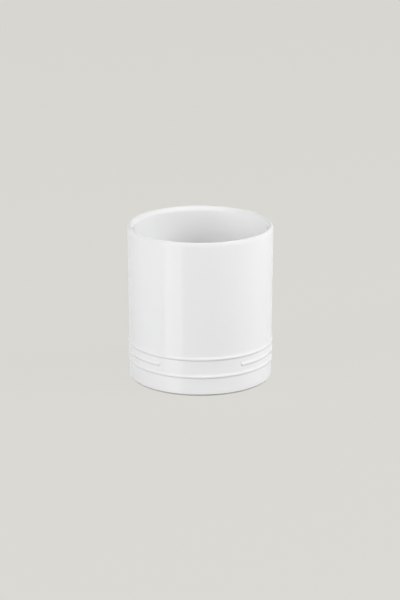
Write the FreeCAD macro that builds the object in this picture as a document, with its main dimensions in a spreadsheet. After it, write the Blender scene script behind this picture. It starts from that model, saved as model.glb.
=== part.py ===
import FreeCAD, Part
import math
import os

import Sketcher
from FreeCAD import Placement, Rotation, Vector

# Utensil jar: an open stoneware crock with a rounded lip, three relief rings near the base, the middle
# one broken off at the front, and a coat of glaze that leaves only the foot ring bare.
# The frame stands on the table: origin at the middle of the foot, +Z up, the front of the jar at -Y.

SIZES = (
    ("jar_height", "124", "table to the crest of the lip"),
    ("lip_diameter", "115", "outside, where the lip starts to round over"),
    ("foot_diameter", "112.6", "outside, where the straight wall would meet the table"),
    ("wall", "4.8", "glazed wall, face to face"),
    ("lip_depth", "4.2", "height over which the lip rounds over"),
    ("lip_crest_radius", "1.1", "top of the lip"),
    ("lip_crest_share", "0.35", "share of the wall that lies outside the crest"),
    ("well_floor", "8", "table to the glazed floor of the well"),
    ("well_corner", "8", "radius between the well's wall and its floor"),
    ("foot_recess", "2", "table to the glazed underside"),
    ("foot_width", "6", "outside of the wall to the inside of the foot ring"),
    ("foot_round", "1.2", "radius of the foot ring's edges"),
    ("recess_corner", "1", "radius between the foot ring and the underside"),
    ("glaze", "0.4", "thickness of every coat"),
    ("glaze_line", "1.3", "table to the lower edge of the outer coat"),
    ("glaze_roll_share", "0.75", "radius of a coat's free edge, as a share of its thickness"),
    ("ring_height", "0.85", "how far a ring stands out"),
    ("ring_crest_radius", "1.6", "top of a ring"),
    ("ring_pitch", "7.2", "one ring's crest to the next"),
    ("ring_hollow", "4.5", "radius of the hollow that leads down to a ring, where the glaze pools"),
    ("ring_crease", "0.5", "radius of the hollow under a ring"),
    ("hollow_sink_share", "0.05", "how far those hollows dip under the wall, as a share of the glaze"),
    ("lowest_ring", "15.8", "table to the crest of the lowest ring"),
    ("ring_gap_angle", "71", "opening of the middle ring, in degrees"),
    ("ring_end_step_share", "0.1", "how far the ends of that ring lie under it, as a share of the glaze"),
)
WHOLE_RING_STEPS = (0, 2)
BROKEN_RING_STEP = 1

# How far a surface lies under the finished jar's: the clay by one coat.
CLAY = "sizes.glaze"
FINISH = "0"

# Radius of the hollow below (-1) and above (1) a ring.
HOLLOWS = {-1: "sizes.ring_crease", 1: "sizes.ring_hollow"}

# Bearings about the axis, from +X.
FRONT = "-90 deg"
BACK = "90 deg"
RING_END = f"{FRONT} + sizes.ring_gap_angle / 2 * 1 deg"

# Places that several pieces share, as formulas on the sheet.
LIP_START = "(sizes.jar_height - sizes.lip_depth)"
DRAFT = "(sizes.lip_diameter - sizes.foot_diameter) / 2"
WALL_SLOPE = f"(90 deg - atan({DRAFT} / {LIP_START}))"
CREST_SETIN = "sizes.wall * sizes.lip_crest_share"
CREST_RADIUS = f"sizes.lip_diameter / 2 - {CREST_SETIN}"
CREST_HEIGHT = "sizes.jar_height - sizes.lip_crest_radius"
FOOT_INSIDE = "sizes.foot_diameter / 2 - sizes.foot_width"
MIDDLE_OF_FLOOR = "(sizes.well_floor + sizes.foot_recess) / 2"
HOLLOW_SINK = "sizes.glaze * sizes.hollow_sink_share"
END_STEP = "sizes.glaze * sizes.ring_end_step_share"
GLAZE_ROLL = "sizes.glaze * sizes.glaze_roll_share"

doc = FreeCAD.newDocument("utensil_jar")
sheet = doc.addObject("Spreadsheet::Sheet", "sizes")
for row, (alias, number, note) in enumerate(SIZES, start=1):
    sheet.set(f"A{row}", note)
    sheet.set(f"B{row}", number)
    sheet.setAlias(f"B{row}", alias)
doc.recompute()


def value(formula):
    """The number that a formula gives with the sheet's present sizes."""
    return float(FreeCAD.Units.Quantity(sheet.evalExpression(formula)).Value)


def wall_radius(height):
    """Formula for the radius of the finished outside at a height."""
    return f"sizes.foot_diameter / 2 + {DRAFT} * ({height}) / {LIP_START}"


def beside_wall(height, along, out):
    """Formulas for a point a way up along the finished outside from a height, and a way out of it."""
    x = f"{wall_radius(height)} + ({along}) * cos({WALL_SLOPE}) + ({out}) * sin({WALL_SLOPE})"
    y = f"{height} + ({along}) * sin({WALL_SLOPE}) - ({out}) * cos({WALL_SLOPE})"
    return x, y


def other_leg(longest, leg):
    """Formula for the third side of a right-angled triangle."""
    return f"sqrt(({longest}) ^ 2 - ({leg}) ^ 2)"


def origin_plane(body, role):
    return next(item for item in body.Origin.OriginFeatures if item.Role == role)


class Section:
    """A sketch in a half plane on the jar's axis, at a bearing: x is the radius and y the height.

    Its outline is a closed chain of lines and arcs. Each stretch is (geometry, first end, last end) in
    the order in which the chain runs, because an arc's own ends always run anticlockwise.
    """

    def __init__(self, body, name, bearing=FRONT):
        self.sketch = body.newObject("Sketcher::SketchObject", name)
        self.sketch.AttachmentSupport = [(origin_plane(body, "XZ_Plane"), "")]
        self.sketch.MapMode = "FlatFace"
        self.sketch.AttachmentOffset = Placement(Vector(), Rotation(Vector(0, 1, 0), value(bearing)))
        self.sketch.setExpression("AttachmentOffset.Rotation.Angle", bearing)

    def line(self, start, end):
        return self.sketch.addGeometry(Part.LineSegment(Vector(*start), Vector(*end))), 1, 2

    def arc(self, centre, radius, start, end):
        """An arc from one angle to another, in degrees: clockwise if the second is the smaller."""
        circle = Part.Circle(Vector(*centre), Vector(0, 0, 1), radius)
        low, high = sorted((math.radians(start), math.radians(end)))
        ends = (1, 2) if start < end else (2, 1)
        return self.sketch.addGeometry(Part.ArcOfCircle(circle, low, high)), *ends

    def close(self, chain, corners_after):
        """Join each stretch to the next, smoothly but for the corners named."""
        for stretch, following in zip(chain, chain[1:] + chain[:1]):
            kind = "Coincident" if stretch in corners_after else "Tangent"
            ends = stretch[0], stretch[2], following[0], following[1]
            self.sketch.addConstraint(Sketcher.Constraint(kind, *ends))

    def bind(self, kind, *place, formula):
        number = math.radians(value(formula)) if kind == "Angle" else value(formula)
        index = self.sketch.addConstraint(Sketcher.Constraint(kind, *place, number))
        self.sketch.setExpression(f"Constraints[{index}]", formula)

    def place(self, stretch, end, x=None, y=None):
        """Fix where a point of a stretch lies: 1 and 2 are its ends, 3 is an arc's centre."""
        if x:
            self.bind("DistanceX", -1, 1, stretch[0], end, formula=x)
        if y:
            self.bind("DistanceY", -1, 1, stretch[0], end, formula=y)

    def set_radius(self, stretch, formula):
        self.bind("Radius", stretch[0], formula=formula)

    def set_slope(self, stretch, formula):
        self.bind("Angle", stretch[0], formula=formula)

    def level(self, *stretches):
        for stretch in stretches:
            self.sketch.addConstraint(Sketcher.Constraint("Horizontal", stretch[0]))

    def upright(self, *stretches):
        for stretch in stretches:
            self.sketch.addConstraint(Sketcher.Constraint("Vertical", stretch[0]))

    def in_line(self, stretch, other):
        self.sketch.addConstraint(Sketcher.Constraint("PointOnObject", stretch[0], 2, other[0]))

    def on_axis(self, stretch, end):
        self.sketch.addConstraint(Sketcher.Constraint("PointOnObject", stretch[0], end, -2))

    def on_table(self, stretch, end):
        self.sketch.addConstraint(Sketcher.Constraint("PointOnObject", stretch[0], end, -1))


def lip_arc(section, face, under, side):
    """The arc that leaves a face of the wall at the lip's start and runs into the arc over the crest: the
    outer face's (side 1) or the well's (side -1). The angle at the crest follows."""
    slope = math.radians(value(WALL_SLOPE))
    out = Vector(math.sin(slope), -math.cos(slope)) * side
    start = Vector(value(face), value(LIP_START))
    crest = Vector(value(CREST_RADIUS), value(CREST_HEIGHT))
    over = value(f"sizes.lip_crest_radius - {under}")
    way = start - crest
    radius = (way.dot(way) - over**2) / (2 * (way.dot(out) - over))
    centre = start - out * radius
    at_face = value(WALL_SLOPE) - 90 * side
    at_crest = math.degrees(math.atan2(crest.y - centre.y, crest.x - centre.x))
    angles = (at_face, at_crest) if side > 0 else (at_crest, at_face)
    return section.arc((centre.x, centre.y), radius, *angles), at_crest


def crest_of_lip(section, under, start, end):
    """The arc over the top of the lip, between two angles."""
    radius = f"sizes.lip_crest_radius - {under}"
    crest = section.arc((value(CREST_RADIUS), value(CREST_HEIGHT)), value(radius), start, end)
    section.place(crest, 3, x=CREST_RADIUS, y=CREST_HEIGHT)
    section.set_radius(crest, radius)
    return crest


class Ring:
    """The outline of a relief ring, square to the wall: a round crest.

    On the finished jar a hollow runs along each side of it, wide above, where the glaze pools, and tight
    below. The clay has a plain corner there, which the glaze fills. The outline ends a little under the
    wall, so that it crosses the wall's face.
    """

    def __init__(self, section, step, under, whole=True):
        self.section = section
        self.height = f"sizes.lowest_ring + {step} * sizes.ring_pitch"
        self.hollowed = under == FINISH
        step_in = END_STEP if self.hollowed and not whole else "0"
        self.radius = f"sizes.ring_crest_radius - {under} - {step_in}"
        self.under = under
        self.square = value(f"{WALL_SLOPE} - 90 deg")
        self.along = {}
        self.turn = {}
        for side, hollow in HOLLOWS.items():
            reach = f"{self.radius} + {hollow}" if self.hollowed else self.radius
            across = f"{reach} + {step_in} - sizes.ring_height - {HOLLOW_SINK}"
            self.along[side] = other_leg(reach, across)
            self.turn[side] = math.degrees(math.acos(value(across) / value(reach)))
        angles = (self.square - self.turn[-1], self.square + self.turn[1] if whole else self.square)
        centre = beside_wall(self.height, "0", "sizes.ring_height - sizes.ring_crest_radius")
        self.crest = section.arc(tuple(map(value, centre)), value(self.radius), *angles)
        section.place(self.crest, 3, *centre)
        section.set_radius(self.crest, self.radius)

    def end(self, side):
        """Formulas for where the outline ends under the wall, below (side -1) or above (side 1) it."""
        out = f"-({HOLLOW_SINK} + {self.under})"
        return beside_wall(self.height, f"{side} * {self.along[side]}", out)

    def settle(self, end):
        """The coordinate that settles such an end: up the wall for a hollow, out of it for a crest."""
        return {"y": end[1]} if self.hollowed else {"x": end[0]}

    def hollow(self, side, crossing=0):
        """The arc of a hollow, from the crest to the angle crossing short of its deepest point."""
        radius = HOLLOWS[side]
        centre = beside_wall(self.height, f"{side} * {self.along[side]}", f"{radius} - {HOLLOW_SINK}")
        angles = (180 + self.square + side * self.turn[side], 180 + self.square + side * crossing)
        arc = self.section.arc(tuple(map(value, centre)), value(radius), *angles[::side])
        self.section.place(arc, 3, x=centre[0])
        self.section.set_radius(arc, radius)
        return arc


def ring_on_wall(section, step, under):
    """The stretches of a whole ring from where it leaves the wall's face to where it meets it again, and
    the heights of those two places."""
    ring = Ring(section, step, under)
    middle = value(ring.height)
    if not ring.hollowed:
        reach = value(other_leg(ring.radius, f"{ring.radius} - sizes.ring_height"))
        return [ring.crest], middle - reach, middle + reach
    hollows = {}
    ends = {}
    for side, radius in HOLLOWS.items():
        crossing = math.acos(1 - value(f"{HOLLOW_SINK} / {radius}"))
        hollows[side] = ring.hollow(side, math.degrees(crossing))
        ends[side] = middle + side * (value(ring.along[side]) - value(radius) * math.sin(crossing))
    return [hollows[-1], ring.crest, hollows[1]], ends[-1], ends[1]


def outside_of_wall(section, under, foot):
    """The outer face of the wall, up from the height foot, with the whole rings on it, and the lip's
    shoulder above. The stretches that end at a corner and the angle of the lip's crest follow."""
    face = f"sizes.lip_diameter / 2 - {under}"
    chain = []
    walls = []
    corners = []
    start = value(foot)
    for step in WHOLE_RING_STEPS:
        ring, low, high = ring_on_wall(section, step, under)
        ends = ((value(f"{wall_radius(level)} - {under}"), level) for level in (start, low))
        wall = section.line(*ends)
        chain += [wall, *ring]
        walls += [wall]
        corners += [wall, ring[-1]]
        start = high
    top = (value(face), value(LIP_START))
    upper_wall = section.line((value(f"{wall_radius(start)} - {under}"), start), top)
    section.place(upper_wall, 2, x=face, y=LIP_START)
    section.set_slope(upper_wall, WALL_SLOPE)
    for wall in walls:
        section.set_slope(wall, WALL_SLOPE)
        section.in_line(wall, upper_wall)
    shoulder, crest_angle = lip_arc(section, face, under, 1)
    return chain + [upper_wall, shoulder], corners, crest_angle


def inside_of_well(section, under):
    """The lip's inner arc, the well's wall and the corner and floor at its bottom, and the angle of the
    lip's crest."""
    face = f"{CREST_RADIUS} - (sizes.wall - {CREST_SETIN}) + {under}"
    floor = f"sizes.well_floor - {under}"
    corner = f"sizes.well_corner + {under}"
    bend = value(floor) + value(corner)
    foot = value(f"{wall_radius(bend)} - sizes.wall + {under}")
    lip, crest_angle = lip_arc(section, face, under, -1)
    wall = section.line((value(face), value(LIP_START)), (foot, bend))
    round_corner = section.arc((foot - value(corner), bend), value(corner), 0, -90)
    bottom = section.line((foot - value(corner), value(floor)), (0, value(floor)))
    section.place(wall, 1, x=face, y=LIP_START)
    section.set_slope(wall, f"{WALL_SLOPE} - 180 deg")
    section.set_radius(round_corner, corner)
    section.level(bottom)
    section.place(bottom, 1, y=floor)
    section.on_axis(bottom, 2)
    return lip, wall, round_corner, bottom, crest_angle


def revolve(body, section, name, axis="V_Axis"):
    feature = body.newObject("PartDesign::Revolution", name)
    feature.Profile = section.sketch
    feature.ReferenceAxis = (section.sketch, [axis])
    feature.Angle = 360
    return feature


def broken_ring_outline(section, under, whole=True):
    """The broken ring, closed by a chord inside the wall, or only the half below the spoke that runs from
    its crest to the chord. The upper side or the spoke follows."""
    ring = Ring(section, BROKEN_RING_STEP, under, whole)
    chord = f"{wall_radius(ring.height)} - ({CREST_SETIN} + {CLAY}) / 2"
    below = ring.end(-1)
    top = f"sizes.ring_height - sizes.ring_crest_radius + {ring.radius}"
    above = ring.end(1) if whole else beside_wall(ring.height, "0", top)
    back = value(chord)
    low = tuple(map(value, below))
    high = tuple(map(value, above))

    lower_side = section.line((back, low[1]), low)
    lower_hollow = [ring.hollow(-1)] if ring.hollowed else []
    upper_hollow = [ring.hollow(1)] if ring.hollowed and whole else []
    curve = [*lower_hollow, ring.crest, *upper_hollow]
    upper_side = section.line(high, (back, high[1]))
    chord_line = section.line((back, high[1]), (back, low[1]))
    chain = [lower_side, *curve, upper_side, chord_line]
    section.close(chain, corners_after=(lower_side, curve[-1], upper_side, chord_line))
    section.level(lower_side)
    section.upright(chord_line)
    section.place(lower_side, 1, x=chord)
    section.place(lower_side, 2, **ring.settle(below))
    section.place(upper_side, 1, **(ring.settle(above) if whole else {"y": above[1]}))
    section.set_slope(upper_side, "180 deg" if whole else f"{WALL_SLOPE} + 90 deg")
    return upper_side


def add_broken_ring(body, under):
    """The ring that stops short at the front, closed at each end by a half dome a hair under it: the
    lower half of its outline, turned about the spoke through its crest."""
    section = Section(body, "broken_ring_section", BACK)
    broken_ring_outline(section, under)
    ring = revolve(body, section, "broken_ring")
    ring.Midplane = True
    ring.setExpression("Angle", "360 - sizes.ring_gap_angle")
    doc.recompute()

    end_section = Section(body, "ring_end_section", RING_END)
    spoke = broken_ring_outline(end_section, under, whole=False)[0]
    axis = end_section.sketch.addGeometry(end_section.sketch.Geometry[spoke], True)
    for end in (1, 2):
        end_section.sketch.addConstraint(Sketcher.Constraint("Coincident", axis, end, spoke, end))
    dome = revolve(body, end_section, "ring_end", "Axis0")
    dome.Angle = 180
    doc.recompute()

    other = body.newObject("PartDesign::Mirrored", "other_ring_end")
    other.Originals = [dome]
    other.MirrorPlane = (origin_plane(body, "YZ_Plane"), [""])
    body.Tip = other
    doc.recompute()


def make_body(name):
    body = doc.addObject("PartDesign::Body", name)
    body.Label = name
    return body


def stoneware_body():
    """The fired clay, one coat inside the finished jar, and the bare foot ring that it stands on."""
    body = make_body("stoneware_body")
    section = Section(body, "clay_section")
    roof = "sizes.foot_recess + sizes.glaze"
    ring_in = value(FOOT_INSIDE)
    edge = value("sizes.foot_round")
    corner = value("sizes.recess_corner")
    ring_out = value("sizes.foot_diameter / 2 - sizes.glaze")
    high = value(roof)

    underside = section.line((0, high), (ring_in - corner, high))
    underside_corner = section.arc((ring_in - corner, high - corner), corner, 90, 0)
    foot_wall = section.line((ring_in, high - corner), (ring_in, edge))
    foot_edge = section.arc((ring_in + edge, edge), edge, 180, 270)
    foot_face = section.line((ring_in + edge, 0), (ring_out - edge, 0))
    foot_curve = section.arc((ring_out - edge, edge), edge, -90, 0)
    wall, ring_feet, crest_start = outside_of_wall(section, CLAY, "sizes.foot_round")
    lip, well, well_corner, well_floor, crest_end = inside_of_well(section, CLAY)
    crest = crest_of_lip(section, CLAY, crest_start, crest_end)
    axis = section.line((0, value("sizes.well_floor - sizes.glaze")), (0, high))

    foot = [underside, underside_corner, foot_wall, foot_edge, foot_face, foot_curve]
    chain = foot + wall + [crest, lip, well, well_corner, well_floor, axis]
    section.close(chain, corners_after=[*ring_feet, well_floor, axis])
    section.level(underside, foot_face)
    section.upright(foot_wall)
    section.on_axis(underside, 1)
    section.place(underside, 1, y=roof)
    section.place(foot_wall, 1, x=FOOT_INSIDE)
    section.on_table(foot_face, 1)
    section.set_radius(underside_corner, "sizes.recess_corner")
    section.set_radius(foot_edge, "sizes.foot_round")
    section.set_radius(foot_curve, "sizes.foot_round")
    revolve(body, section, "jar")
    doc.recompute()
    add_broken_ring(body, CLAY)
    return body


def coat_on(clay, name, solid):
    """A coat is a finished solid that reaches to the middle of the wall, less the clay."""
    coat = doc.addObject("Part::Cut", name)
    coat.Base = solid
    coat.Tool = clay
    coat.Label = name
    return coat


def outer_glaze(clay):
    """The coat outside, from the crest of the lip to its rolled edge above the foot."""
    body = make_body("outer_coat")
    section = Section(body, "outer_section")
    low = value("sizes.glaze_line")
    roll = value(GLAZE_ROLL)
    face = value(wall_radius("sizes.glaze_line"))
    back = value(f"{wall_radius('sizes.glaze_line')} - {CREST_SETIN}")

    edge = section.line((back, low), (face - roll, low))
    edge_roll = section.arc((face - roll, low + roll), roll, -90, 0)
    foot = f"sizes.glaze_line + {GLAZE_ROLL}"
    wall, ring_feet, crest_start = outside_of_wall(section, FINISH, foot)
    crest = crest_of_lip(section, FINISH, crest_start, 90)
    seam = section.line(
        (value(CREST_RADIUS), value("sizes.jar_height")), (value(CREST_RADIUS), value(LIP_START))
    )
    core = section.line((value(CREST_RADIUS), value(LIP_START)), (back, low))

    chain = [edge, edge_roll, *wall, crest, seam, core]
    section.close(chain, corners_after=[*ring_feet, crest, seam, core])
    section.level(edge)
    section.place(edge, 1, y="sizes.glaze_line")
    section.set_radius(edge_roll, GLAZE_ROLL)
    section.upright(seam)
    section.place(seam, 1, x=CREST_RADIUS)
    section.place(seam, 2, y=LIP_START)
    section.set_slope(core, f"{WALL_SLOPE} - 180 deg")
    revolve(body, section, "outside")
    doc.recompute()
    add_broken_ring(body, FINISH)
    return coat_on(clay, "outer_glaze", body)


def inner_glaze(clay):
    """The coat that lines the well, from the crest of the lip to the middle of the floor."""
    body = make_body("inner_coat")
    section = Section(body, "inner_section")
    low = value(MIDDLE_OF_FLOOR)
    back = value(f"{wall_radius(MIDDLE_OF_FLOOR)} - {CREST_SETIN}")

    base = section.line((0, low), (back, low))
    core = section.line((back, low), (value(CREST_RADIUS), value(LIP_START)))
    seam = section.line(
        (value(CREST_RADIUS), value(LIP_START)), (value(CREST_RADIUS), value("sizes.jar_height"))
    )
    lip, well, well_corner, well_floor, crest_end = inside_of_well(section, FINISH)
    crest = crest_of_lip(section, FINISH, 90, crest_end)
    axis = section.line((0, value("sizes.well_floor")), (0, low))

    chain = [base, core, seam, crest, lip, well, well_corner, well_floor, axis]
    section.close(chain, corners_after=(base, core, seam, well_floor, axis))
    section.level(base)
    section.on_axis(base, 1)
    section.place(base, 1, y=MIDDLE_OF_FLOOR)
    section.set_slope(core, WALL_SLOPE)
    section.upright(seam)
    section.place(seam, 1, x=CREST_RADIUS, y=LIP_START)
    revolve(body, section, "lining")
    doc.recompute()
    return coat_on(clay, "inner_glaze", body)


def base_glaze():
    """The round patch of glaze on the underside, inside the foot ring."""
    body = make_body("base_glaze")
    section = Section(body, "base_section")
    rim = f"{FOOT_INSIDE} - sizes.recess_corner"
    top = "sizes.foot_recess + sizes.glaze"
    low = value("sizes.foot_recess")
    roll = value(GLAZE_ROLL)

    face = section.line((0, low), (value(rim) - roll, low))
    face_roll = section.arc((value(rim) - roll, low + roll), roll, -90, 0)
    edge = section.line((value(rim), low + roll), (value(rim), value(top)))
    back = section.line((value(rim), value(top)), (0, value(top)))
    axis = section.line((0, value(top)), (0, low))

    section.close([face, face_roll, edge, back, axis], corners_after=(edge, back, axis))
    section.level(face, back)
    section.upright(edge)
    section.on_axis(face, 1)
    section.on_axis(back, 2)
    section.place(face, 1, y="sizes.foot_recess")
    section.set_radius(face_roll, GLAZE_ROLL)
    section.place(back, 1, x=rim, y=top)
    revolve(body, section, "patch")
    doc.recompute()
    return body


clay = stoneware_body()
pieces = [clay, outer_glaze(clay), inner_glaze(clay), base_glaze()]
doc.recompute()

for item in doc.Objects:
    if "Invalid" in item.State or "Error" in item.State:
        raise RuntimeError(f"{item.Label} failed: {item.State}")
for piece in pieces:
    if piece.Shape.isNull() or not piece.Shape.isValid() or len(piece.Shape.Solids) != 1:
        raise RuntimeError(f"{piece.Label} is not one valid solid")

os.makedirs("parts", exist_ok=True)
for piece in pieces:
    piece.Shape.exportStep(f"parts/{piece.Label}.step")
    print(f"{piece.Label}: {piece.Shape.Volume / 1000:.2f} cm3")
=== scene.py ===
import math

import bpy
import numpy as np
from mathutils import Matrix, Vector


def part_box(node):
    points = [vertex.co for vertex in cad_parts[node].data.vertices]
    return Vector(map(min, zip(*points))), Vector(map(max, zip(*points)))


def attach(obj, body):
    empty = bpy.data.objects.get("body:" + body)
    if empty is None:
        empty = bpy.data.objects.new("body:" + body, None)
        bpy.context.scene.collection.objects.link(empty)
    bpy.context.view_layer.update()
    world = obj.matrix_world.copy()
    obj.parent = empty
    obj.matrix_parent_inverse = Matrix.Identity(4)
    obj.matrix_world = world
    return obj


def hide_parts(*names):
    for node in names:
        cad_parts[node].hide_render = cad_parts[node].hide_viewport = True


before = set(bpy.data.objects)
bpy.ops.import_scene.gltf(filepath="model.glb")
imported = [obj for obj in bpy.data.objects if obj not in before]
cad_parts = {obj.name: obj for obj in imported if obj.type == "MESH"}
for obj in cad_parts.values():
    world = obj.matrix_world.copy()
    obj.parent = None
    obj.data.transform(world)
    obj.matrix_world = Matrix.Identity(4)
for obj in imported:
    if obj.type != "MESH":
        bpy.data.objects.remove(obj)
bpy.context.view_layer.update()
mm = 0.001

# sizes that the coats and the clay share
jar = {
    "height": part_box("outer_glaze")[1].z,
    "lipRadius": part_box("outer_glaze")[1].x,
    "footRadius": 56.3 * mm,  # where the straight wall would meet the table
    "wall": 4.8 * mm,
    "lipDepth": 4.2 * mm,
    "crestRadius": 1.1 * mm,
    "crestShare": 0.35,  # share of the wall that lies outside the crest
    "glaze": 0.4 * mm,
}
rowsOf = {"shoulder": 14, "crest": 9, "innerLip": 18, "well": 24, "corner": 20, "flat": 24, "edge": 10}
sharpAngle = math.radians(40)
lipStart = jar["height"] - jar["lipDepth"]
lean = math.atan2(jar["lipRadius"] - jar["footRadius"], lipStart)
crestIn = jar["wall"] * jar["crestShare"]
crestCentre = np.array((jar["lipRadius"] - crestIn, jar["height"] - jar["crestRadius"]))

# three ridges near the base, the middle one broken at the front
rings = {
    "height": 0.85 * mm,
    "crest": 1.6 * mm,  # radius of the rounded top
    "above": 4.5 * mm,  # radius of the hollow that leads down to a ridge, where the glaze pools and its darker colour paints shade
    "below": 0.5 * mm,  # radius of the hollow under it
    "lowest": 15.8 * mm,
    "pitch": 7.2 * mm,
    "gapAngle": math.radians(71),
    "brokenStep": 1,
    "count": 3,
}
ringHeights = rings["lowest"] + rings["pitch"] * np.arange(rings["count"])
turn = {"columns": 300, "endTimes": 6.0, "endSpread": math.radians(3.5), "finer": 40}


# rising values from low to high, closer together near some places: their density there is 1 + times
def crowded(low, high, count, places, width, times):
    fine = np.linspace(low, high, turn["finer"] * count)
    density = 1 + times * np.exp(-(((fine[:, None] - places) / width) ** 2)).sum(1)
    share = np.concatenate(([0], np.cumsum(density[1:] + density[:-1])))
    return np.interp(np.linspace(0, share[-1], count), share, fine)


# angles of the columns from the front, +X side positive, close together at the ends of the broken ridge
ringEnds = rings["gapAngle"] / 2 * np.array((-1, 1))
angles = crowded(-math.pi, math.pi, turn["columns"] + 1, ringEnds, turn["endSpread"], turn["endTimes"])
angles = angles[:-1]


# radius of the finished wall at a height: a straight line from foot to lip
def wallRadius(z):
    return jar["footRadius"] + (jar["lipRadius"] - jar["footRadius"]) * z / lipStart


# how far the ridges stand out: a round crest near a ridge's middle line, then a hollow arc that meets the
# wall, wide above the ridge and tight below it; past the ends of the broken one the distance is taken to
# its last point and the wide hollow fades to the tight one, so its ends are domes. The glaze is thin (-1)
# along a crest and pools (1) halfway down a hollow, where its darker colour also paints the creases'
# shade
def ringRelief(theta, z):
    high, crest = rings["height"], rings["crest"]
    relief = np.zeros(np.broadcast(theta, z).shape)
    poolAndShade = np.zeros_like(relief)
    for step, middle in enumerate(ringHeights):
        past = np.zeros_like(theta)
        if step == rings["brokenStep"]:
            past = np.maximum(rings["gapAngle"] / 2 - np.abs(theta), 0) * jar["footRadius"]
        fade = np.clip(1 - past / rings["above"], 0, 1)
        widest = rings["below"] + (rings["above"] - rings["below"]) * fade
        hollow = np.where(z > middle, widest, rings["below"])
        away = np.hypot(z - middle, past)
        reach = crest + hollow
        foot = np.sqrt(reach**2 - (reach - high) ** 2)
        onCrest = np.sqrt(np.maximum(crest**2 - away**2, 0)) - crest + high
        onHollow = hollow - np.sqrt(np.maximum(hollow**2 - np.maximum(foot - away, 0) ** 2, 0))
        edge = foot * crest / reach
        relief += np.where(away < edge, onCrest, onHollow)
        halfHollow = (foot - edge) / 2
        poolAndShade += np.clip(1 - np.abs(away - edge - halfHollow) / halfHollow, 0, 1)
        poolAndShade -= np.clip(1 - away / edge, 0, 1)
    return relief, poolAndShade


# points along an arc, first and last included
def arcPoints(centre, radius, start, end, count):
    bend = np.linspace(start, end, count)
    return np.stack((centre[0] + radius * np.cos(bend), centre[1] + radius * np.sin(bend)), 1)


# the arc that leaves a face of the wall square to it and runs into the crest's arc, and the angle there
def lipArc(face, side, under, count):
    out = np.array((math.cos(lean), -math.sin(lean))) * side
    over = jar["crestRadius"] - under
    way = np.array((face, lipStart)) - crestCentre
    radius = (way @ way - over**2) / (2 * (way @ out - over))
    centre = np.array((face, lipStart)) - out * radius
    toCrest = crestCentre - centre
    atCrest = math.atan2(toCrest[1], toCrest[0])
    atFace = -lean if side > 0 else math.pi - lean
    return arcPoints(centre, radius, atFace, atCrest, count), atCrest


wallMesh = {"rows": 105, "ringTimes": 7.0, "ringSpread": 2 * mm}


# heights of the wall's rows, close together where the ridges are
def wallRows(low, high):
    spread, times = wallMesh["ringSpread"], wallMesh["ringTimes"]
    return crowded(low, high, wallMesh["rows"], ringHeights, spread, times)[:-1]


# a profile turned round the axis: radius and height of each row at each angle
def turned(profile):
    return profile[:, :1] + np.zeros_like(angles), profile[:, 1:] + np.zeros_like(angles)


# outside of the jar from a height up to the top of the lip, one coat lower for the clay: radius and
# height of each row at each angle, and how thick the glaze lies there, from thin (-1) to pooled (1),
# where pooled also means painted shade
def outsideSurface(low, under):
    shoulder, atCrest = lipArc(jar["lipRadius"] - under, 1, under, rowsOf["shoulder"])
    over = jar["crestRadius"] - under
    crest = arcPoints(crestCentre, over, atCrest, math.pi / 2, rowsOf["crest"])[1:]
    rows = wallRows(low, lipStart)
    wallR, wallZ = turned(np.stack((wallRadius(rows) - under, rows), 1))
    topR, topZ = turned(np.concatenate((shoulder, crest)))
    relief, poolAndShade = ringRelief(angles[None, :], rows[:, None])
    r = np.concatenate((wallR + relief, topR))
    z = np.concatenate((wallZ, topZ))
    return r, z, np.concatenate((poolAndShade, (lipStart - topZ) / jar["lipDepth"]))


well = {"floor": 8 * mm, "corner": 8 * mm}


# inside of the jar from the top of the lip to the middle of the well's floor, as one profile
def insideProfile(under):
    face = jar["lipRadius"] - jar["wall"] + under
    lip, atCrest = lipArc(face, -1, under, rowsOf["innerLip"])
    crest = arcPoints(crestCentre, jar["crestRadius"] - under, math.pi / 2, atCrest, rowsOf["crest"])
    corner = well["corner"] + under
    bend = well["floor"] + well["corner"]
    atBend = wallRadius(bend) - jar["wall"] + under
    wall = np.linspace((face, lipStart), (atBend, bend), rowsOf["well"])
    bottom = arcPoints((atBend - corner, bend), corner, 0, -math.pi / 2, rowsOf["corner"])
    floor = np.linspace(bottom[-1], (0, well["floor"] - under), rowsOf["flat"])
    return np.concatenate((crest, lip[::-1][1:], wall[1:], bottom[1:], floor[1:]))


# mesh of a surface of rows and columns round the axis; its rows close on themselves, or start and end
# in a single point on the axis, with a fan of triangles to the row beside it
def turnedMesh(name, r, z, poolAndShade, closed):
    rim = slice(None) if closed else slice(1, -1)
    rows, columns = r[rim].shape
    column = np.arange(columns)
    beside = np.roll(column, -1)
    low = columns * np.arange(rows if closed else rows - 1)[:, None]
    high = (low + columns) % (rows * columns)
    corners = (low + column, low + beside, high + beside, high + column)
    faces = np.stack(corners, 2).reshape(-1, len(corners)).tolist()
    points = np.stack((r * np.sin(angles), -r * np.cos(angles), z), 2)[rim].reshape(-1, 3)
    thicknessAndShade = poolAndShade[rim].ravel()
    if not closed:
        first, last, lastRow = rows * columns, rows * columns + 1, columns * (rows - 1)
        faces += np.stack((np.full(columns, first), beside, column), 1).tolist()
        faces += np.stack((lastRow + column, lastRow + beside, np.full(columns, last)), 1).tolist()
        points = np.concatenate((points, [(0, 0, z[0, 0]), (0, 0, z[-1, 0])]))
        thicknessAndShade = np.concatenate((thicknessAndShade, poolAndShade[[0, -1], 0]))
    mesh = bpy.data.meshes.new(name)
    mesh.from_pydata(points.tolist(), [], faces)
    # glaze thickness, whose pooled end also marks where shade is painted
    mesh.attributes.new("poolAndShade", "FLOAT", "POINT").data.foreach_set("value", thicknessAndShade)
    mesh.shade_smooth()
    mesh.set_sharp_from_angle(angle=sharpAngle)
    mesh.validate()
    piece = bpy.data.objects.new(name, mesh)
    bpy.context.scene.collection.objects.link(piece)
    return piece


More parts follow.
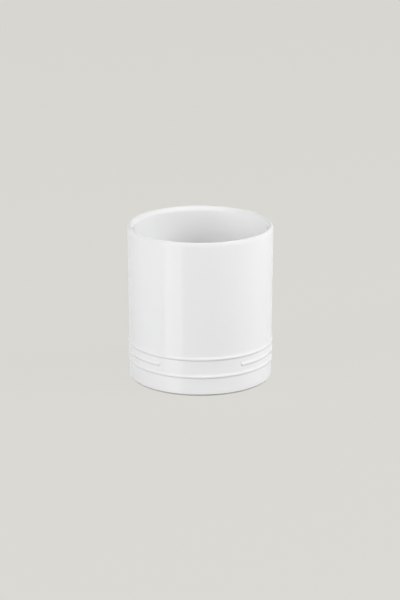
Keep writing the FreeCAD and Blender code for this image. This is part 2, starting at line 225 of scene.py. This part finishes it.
coat = {
    "edge": 1.3 * mm,  # table to the lower edge of the outer coat
    "roll": 0.3 * mm,
    "edgeWave": 0.06 * mm,  # how unevenly the foot was wiped
    "waves": ((3, 0.7, 1.0), (7, 2.1, 0.6), (17, 0.0, 0.4)),  # per turn, phase, share
    "waveReach": 6 * mm,
}


# outer coat: a rolled lower edge, the finished outside up to the crest, and back down on the clay
def outerGlaze():
    face = wallRadius(coat["edge"])
    roll = coat["roll"]
    edge = arcPoints((face - roll, coat["edge"] + roll), roll, -math.pi / 2, 0, rowsOf["edge"])[:-1]
    edgeR, edgeZ = turned(edge)
    outR, outZ, poolAndShade = outsideSurface(coat["edge"] + roll, 0)
    backR, backZ, backPoolAndShade = outsideSurface(coat["edge"], jar["glaze"])
    r = np.concatenate((edgeR, outR, backR[::-1]))
    z = np.concatenate((edgeZ, outZ, backZ[::-1]))
    # the rolled lower edge counts as pooled: darker, which also paints shade along the foot
    poolAndShade = np.concatenate((np.ones_like(edgeR), poolAndShade, backPoolAndShade[::-1]))
    wave = sum(share * np.sin(times * angles + phase) for times, phase, share in coat["waves"])
    z += coat["edgeWave"] * wave * np.clip(1 - (z - coat["edge"]) / coat["waveReach"], 0, 1) ** 2
    return turnedMesh("outerGlaze", r, z, poolAndShade, True)


# inner coat: up the clay from the middle of the floor, then back down the well over the crest; thin on
# the lip, and pooled round the floor, where its darker colour also paints the well's shade
def innerGlaze():
    r, z = turned(np.concatenate((insideProfile(jar["glaze"])[::-1], insideProfile(0))))
    pooledAndShaded = np.clip(1 - (z - well["floor"]) / well["corner"], 0, 1)
    poolAndShade = pooledAndShaded - np.maximum(z - lipStart, 0) / jar["lipDepth"]
    return turnedMesh("innerGlaze", r, z, poolAndShade, False)


foot = {"inside": 50.3 * mm, "round": 1.2 * mm, "recess": 2 * mm, "corner": 1 * mm}


# clay: the recess under the jar, the foot ring, the outside, the lip and the well
def stonewareBody():
    roof = foot["recess"] + jar["glaze"]
    ring, corner = foot["round"], foot["corner"]
    outer = wallRadius(ring) - jar["glaze"]
    under = np.concatenate((
        np.linspace((0, roof), (foot["inside"] - corner, roof), rowsOf["flat"], endpoint=False),
        arcPoints((foot["inside"] - corner, roof - corner), corner, math.pi / 2, 0, rowsOf["edge"]),
        arcPoints((foot["inside"] + ring, ring), ring, -math.pi, -math.pi / 2, rowsOf["edge"]),
        arcPoints((outer - ring, ring), ring, -math.pi / 2, 0, rowsOf["edge"])[:-1],
    ))
    underR, underZ = turned(under)
    outR, outZ = outsideSurface(ring, jar["glaze"])[:2]
    inR, inZ = turned(insideProfile(jar["glaze"])[1:])
    r = np.concatenate((underR, outR, inR))
    z = np.concatenate((underZ, outZ, inZ))
    return turnedMesh("stonewareBody", r, z, np.zeros_like(r), False)


# glaze under the jar: a disc with a rolled rim
def baseGlaze():
    rim, roll = foot["inside"] - foot["corner"], coat["roll"]
    low, high = foot["recess"], foot["recess"] + jar["glaze"]
    face = np.linspace((0, low), (rim - roll, low), rowsOf["flat"], endpoint=False)
    edge = arcPoints((rim - roll, low + roll), roll, -math.pi / 2, 0, rowsOf["edge"])
    back = np.linspace((rim, high), (0, high), rowsOf["flat"])
    r, z = turned(np.concatenate((face, edge, back)))
    return turnedMesh("baseGlaze", r, z, np.zeros_like(r), False)


pieces = {
    "outer_glaze": outerGlaze(),
    "inner_glaze": innerGlaze(),
    "base_glaze": baseGlaze(),
    "stoneware_body": stonewareBody(),
}
print("pieces:", ", ".join(f"{p.name} {len(p.data.polygons)} faces" for p in pieces.values()))


# a socket whose operators add Math nodes
class Wire:
    def __init__(self, tree, socket):
        self.tree, self.socket = tree, socket

    def maths(self, operation, first, second):
        return addNode(self.tree, "ShaderNodeMath", {"operation": operation}, {0: first, 1: second})

    def __add__(self, other):
        return self.maths("ADD", self, other)

    def __sub__(self, other):
        return self.maths("SUBTRACT", self, other)

    def __rsub__(self, other):
        return self.maths("SUBTRACT", other, self)

    def __mul__(self, other):
        return self.maths("MULTIPLY", self, other)

    def __truediv__(self, other):
        return self.maths("DIVIDE", self, other)

    def __rtruediv__(self, other):
        return self.maths("DIVIDE", other, self)

    def __neg__(self):
        return 0 - self

    __radd__ = __add__
    __rmul__ = __mul__

    # the same value kept between 0 and 1
    def share(self):
        return addNode(self.tree, "ShaderNodeClamp", sockets={"Value": self})


# a node of a type, with its settings first and then the values or links of its sockets
def addNode(tree, kind, settings=None, sockets=None, output=0):
    node = tree.nodes.new(kind)
    for name, value in (settings or {}).items():
        setattr(node, name, value)
    for name, value in (sockets or {}).items():
        if isinstance(value, Wire):
            tree.links.new(value.socket, node.inputs[name])
        else:
            node.inputs[name].default_value = value
    return Wire(tree, node.outputs[output])


# a share of the second colour in the first, by the Mix node's colour sockets
def mixColours(share, first, second):
    colourA, colourB, result = 6, 7, 2
    sockets = {0: share, colourA: first, colourB: second}
    return addNode(share.tree, "ShaderNodeMix", {"data_type": "RGBA"}, sockets, result)


# soft cloudy value from 0 to 1, so many clouds to the metre
def noise(place, scale, detail):
    sockets = {"Vector": place, "Scale": scale, "Detail": detail}
    return addNode(place.tree, "ShaderNodeTexNoise", sockets=sockets)


# round spots of a radius, one in each of a few cells of a scatter of points, 1 in the middle and 0 around
def spots(place, perMetre, radius, rarity):
    cells = {"Vector": place, "Scale": perMetre}
    away = addNode(place.tree, "ShaderNodeTexVoronoi", sockets=cells) / (radius * perMetre)
    tint = addNode(place.tree, "ShaderNodeTexVoronoi", sockets=cells, output="Color")
    pick = addNode(place.tree, "ShaderNodeSeparateColor", sockets={"Color": tint})
    chosen = pick.maths("GREATER_THAN", pick, rarity)
    return (1 - away).share() * chosen


# normal of a face with a height in metres on it
def bumped(tree, height):
    return addNode(tree, "ShaderNodeBump", sockets={"Strength": 1, "Distance": 1, "Height": height})


def newMaterial(name):
    material = bpy.data.materials.new(name)
    material.use_nodes = True
    material.node_tree.nodes.clear()
    return material, material.node_tree


def setSurface(tree, shader):
    out = tree.nodes.new("ShaderNodeOutputMaterial")
    tree.links.new(shader.socket, out.inputs["Surface"])


glazeFinish = {
    "white": (0.86, 0.86, 0.86, 1),
    "cloudy": (0.848, 0.848, 0.85, 1),
    # pooled glaze, a little darker and cooler, which also paints shade in creases, round the well's floor
    # and along the lower edge
    "pooledAndShaded": (0.825, 0.827, 0.832, 1),
    "thin": (0.81, 0.808, 0.804, 1),  # the clay shows through a little
    "roughness": 0.02,
    "roughnessSpread": 0.02,
    "clouds": {"scale": 45, "detail": 3},
    "waves": {"scale": 60, "detail": 1},
    "orangePeel": {"scale": 420, "detail": 1},
    "waveHeight": 5e-6,
    "peelHeight": 0.4e-6,
    "pinholes": {"perMetre": 190, "radius": 0.16 * mm, "rarity": 0.9},
    "pinholeDepth": 14e-6,
}


# white glaze: clouds, thin crests and pooled hollows in its colour, the pooled ones darker as painted
# shade; slow waves, orange peel and a few pinholes in its face
def whiteGlaze():
    material, tree = newMaterial("whiteGlaze")
    finish = glazeFinish
    place = addNode(tree, "ShaderNodeTexCoord", output="Object")
    poolAndShade = addNode(tree, "ShaderNodeAttribute", {"attribute_name": "poolAndShade"}, output="Fac")
    cloud = noise(place, **finish["clouds"])
    pinholes = spots(place, **finish["pinholes"])
    tint = mixColours(cloud, finish["white"], finish["cloudy"])
    # painted shade: the darker pooled colour wherever the mask is above 0
    tint = mixColours(poolAndShade.share(), tint, finish["pooledAndShaded"])
    tint = mixColours((-poolAndShade).share(), tint, finish["thin"])
    waves = noise(place, **finish["waves"]) * finish["waveHeight"]
    peel = noise(place, **finish["orangePeel"]) * finish["peelHeight"]
    shader = addNode(tree, "ShaderNodeBsdfPrincipled", sockets={
        "Base Color": tint,
        "Roughness": finish["roughness"] + finish["roughnessSpread"] * cloud,
        "Normal": bumped(tree, waves + peel - pinholes * finish["pinholeDepth"]),
    })
    setSurface(tree, shader)
    return material


clayFinish = {
    "pale": (0.62, 0.6, 0.57, 1),
    "darkerClay": (0.45, 0.42, 0.38, 1),
    "speck": (0.2, 0.17, 0.14, 1),
    "darkerFrom": 0.5 * mm,  # the clay darkens from here up to the edge of the glaze
    "darkerTo": 1.5 * mm,
    "blotches": {"scale": 160, "detail": 4},
    "grain": {"scale": 2600, "detail": 3},
    "grainHeight": 40e-6,
    "roughness": 0.8,
    "roughnessSpread": 0.15,
    "specks": {"perMetre": 900, "radius": 0.3 * mm, "rarity": 0.85},
}


# bare clay: blotches, a darker band up to the edge of the glaze, dark specks and a fine grain
def bareStoneware():
    material, tree = newMaterial("bareStoneware")
    finish = clayFinish
    place = addNode(tree, "ShaderNodeTexCoord", output="Object")
    up = addNode(tree, "ShaderNodeSeparateXYZ", sockets={"Vector": place}, output="Z")
    # the clay gets darker with height, from the given height up to the edge of the glaze and above
    darkening = ((up - finish["darkerFrom"]) / (finish["darkerTo"] - finish["darkerFrom"])).share()
    blotch = noise(place, **finish["blotches"])
    grain = noise(place, **finish["grain"])
    colour = mixColours((blotch * blotch + darkening).share(), finish["pale"], finish["darkerClay"])
    colour = mixColours(spots(place, **finish["specks"]), colour, finish["speck"])
    shader = addNode(tree, "ShaderNodeBsdfPrincipled", sockets={
        "Base Color": colour,
        "Roughness": finish["roughness"] + finish["roughnessSpread"] * grain,
        "Normal": bumped(tree, grain * finish["grainHeight"]),
    })
    setSurface(tree, shader)
    return material


glaze, clay = whiteGlaze(), bareStoneware()
for node, piece in pieces.items():
    bare = node == "stoneware_body"
    piece.data.materials.append(clay if bare else glaze)
    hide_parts(node)
    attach(piece, "root")
print("finishes: glaze and bare clay")

backdrop = {
    "colour": (0.702, 0.695, 0.659, 1),
    "bounce": (0.55, 0.55, 0.55, 1),  # what the floor throws back at the jar
    "shadow": 0.05,  # share of the floor's own light and shade that shows
    "reach": 8.0,
    "opening": 54.4 * mm,  # round hole that the foot ring covers, so that the base is seen in the light
    "corners": 96,
}


# flat sheet that belongs to the studio
def panel(name, corners, faces, material):
    mesh = bpy.data.meshes.new(name)
    mesh.from_pydata(corners, [], faces)
    mesh.materials.append(material)
    sheet = bpy.data.objects.new(name, mesh)
    bpy.context.scene.collection.objects.link(sheet)
    return sheet


# level ring from the opening out to the floor's reach: each radius times the cosine and sine of an angle
def floorPlane():
    material, tree = newMaterial("floor")
    seen = addNode(tree, "ShaderNodeLightPath", output="Is Camera Ray")
    glow = addNode(tree, "ShaderNodeEmission", sockets={"Color": backdrop["colour"]})
    shade = mixColours(seen, backdrop["bounce"], backdrop["colour"])
    matt = addNode(tree, "ShaderNodeBsdfDiffuse", sockets={"Color": shade})
    flat = addNode(tree, "ShaderNodeMixShader", sockets={
        0: seen * (1 - backdrop["shadow"]), 1: matt, 2: glow})
    clear = addNode(tree, "ShaderNodeBsdfTransparent")
    below = addNode(tree, "ShaderNodeNewGeometry", output="Backfacing")
    setSurface(tree, addNode(tree, "ShaderNodeMixShader", sockets={0: below, 1: flat, 2: clear}))
    count = backdrop["corners"]
    bend = np.linspace(0, 2 * math.pi, count, endpoint=False)
    rim = np.stack((np.cos(bend), np.sin(bend), np.zeros(count)), 1)
    corners = np.concatenate((rim * backdrop["opening"], rim * backdrop["reach"])).tolist()
    inner = np.arange(count)
    beside = np.roll(inner, -1)
    faces = np.stack((inner, inner + count, beside + count, beside), 1).tolist()
    panel("floor", corners, faces, material).visible_glossy = False


studio = {
    "ambient": 0.25,
    "mirrored": 0.82,  # what the glaze reflects
    "under": 0.6,  # light from below, which comes through the floor's opening only
    # bearing from the front (+ to the right) and height of each lamp in degrees; metres; watts
    "left": {"bearing": -60, "rise": 23, "distance": 1.5, "size": 0.9, "power": 12.6},
    "right": {"bearing": 80, "rise": 35, "distance": 1.5, "size": 0.9, "power": 15.1},
    "front": {"bearing": 15, "rise": 30, "distance": 1.5, "size": 0.9, "power": 5.5},
}


# square lamp aimed at the middle of the jar, seen neither by the camera nor in reflections
def softbox(name):
    box = studio[name]
    lamp = bpy.data.lights.new(name, "AREA")
    lamp.size = box["size"]
    lamp.energy = box["power"]
    turnTo, rise = math.radians(box["bearing"]), math.radians(box["rise"])
    away = Vector((math.sin(turnTo) * math.cos(rise), -math.cos(turnTo) * math.cos(rise), math.sin(rise)))
    lampObject = bpy.data.objects.new(name, lamp)
    lampObject.location = Vector((0, 0, jar["height"] / 2)) + away * box["distance"]
    lampObject.rotation_euler = (-away).to_track_quat("-Z", "Y").to_euler()
    lampObject.visible_camera = False
    lampObject.visible_glossy = False
    bpy.context.scene.collection.objects.link(lampObject)


card = {"bearing": -42.7, "distance": 1.4, "spread": 14.5, "low": -1.0, "high": 1.0, "glow": 1.78}


# a tall bright card at the front left that only reflections see
def stripCard():
    material, tree = newMaterial("stripCard")
    setSurface(tree, addNode(tree, "ShaderNodeEmission", sockets={"Strength": card["glow"]}))
    ends = np.radians((card["bearing"] - card["spread"], card["bearing"] + card["spread"]))
    x, y = card["distance"] * np.sin(ends), -card["distance"] * np.cos(ends)
    low, high = card["low"], card["high"]
    corners = ((x[0], y[0], low), (x[1], y[1], low), (x[1], y[1], high), (x[0], y[0], high))
    strip = panel("stripCard", corners, [range(len(corners))], material)
    strip.visible_camera = False
    strip.visible_diffuse = False
    strip.visible_shadow = False


# even light all round, brighter from below, and a level of its own in reflections
def paleWorld():
    world = bpy.data.worlds.new("studio")
    world.use_nodes = True
    tree = world.node_tree
    tree.nodes.clear()
    seen = addNode(tree, "ShaderNodeLightPath", output="Is Camera Ray")
    glossy = addNode(tree, "ShaderNodeLightPath", output="Is Glossy Ray")
    way = addNode(tree, "ShaderNodeTexCoord", output="Generated")
    up = addNode(tree, "ShaderNodeSeparateXYZ", sockets={"Vector": way}, output="Z")
    below = up.maths("LESS_THAN", up, 0)
    ambient, under, mirrored = ((studio[level],) * 3 + (1,) for level in ("ambient", "under", "mirrored"))
    colour = mixColours((seen + glossy).share(), mixColours(below, ambient, under), mirrored)
    sky = addNode(tree, "ShaderNodeBackground", sockets={"Color": colour})
    out = tree.nodes.new("ShaderNodeOutputWorld")
    tree.links.new(sky.socket, out.inputs["Surface"])
    bpy.context.scene.world = world


floorPlane()
for name in ("left", "right", "front"):
    softbox(name)
stripCard()
paleWorld()
print("studio: floor, lamps, card and world")

view = {
    "rise": 17.1,
    "distance": 1.91,
    "lens": 144.35,
    "sensor": 36,
    "aimHeight": 61.25 * mm,
    "shiftX": -0.0007,
    "farthest": 40,
}


# camera straight in front of the jar, looking down on it a little
def photoCamera():
    data = bpy.data.cameras.new("camera")
    data.lens = view["lens"]
    data.sensor_width = view["sensor"]
    data.shift_x = view["shiftX"]
    data.clip_end = view["farthest"]
    rise = math.radians(view["rise"])
    back = Vector((0, -math.cos(rise), math.sin(rise)))
    camera = bpy.data.objects.new("camera", data)
    camera.location = Vector((0, 0, view["aimHeight"])) + back * view["distance"]
    camera.rotation_euler = (-back).to_track_quat("-Z", "Y").to_euler()
    bpy.context.scene.collection.objects.link(camera)
    bpy.context.scene.camera = camera


photoCamera()
bpy.context.scene.view_settings.view_transform = "Standard"
print("camera: front, from above")
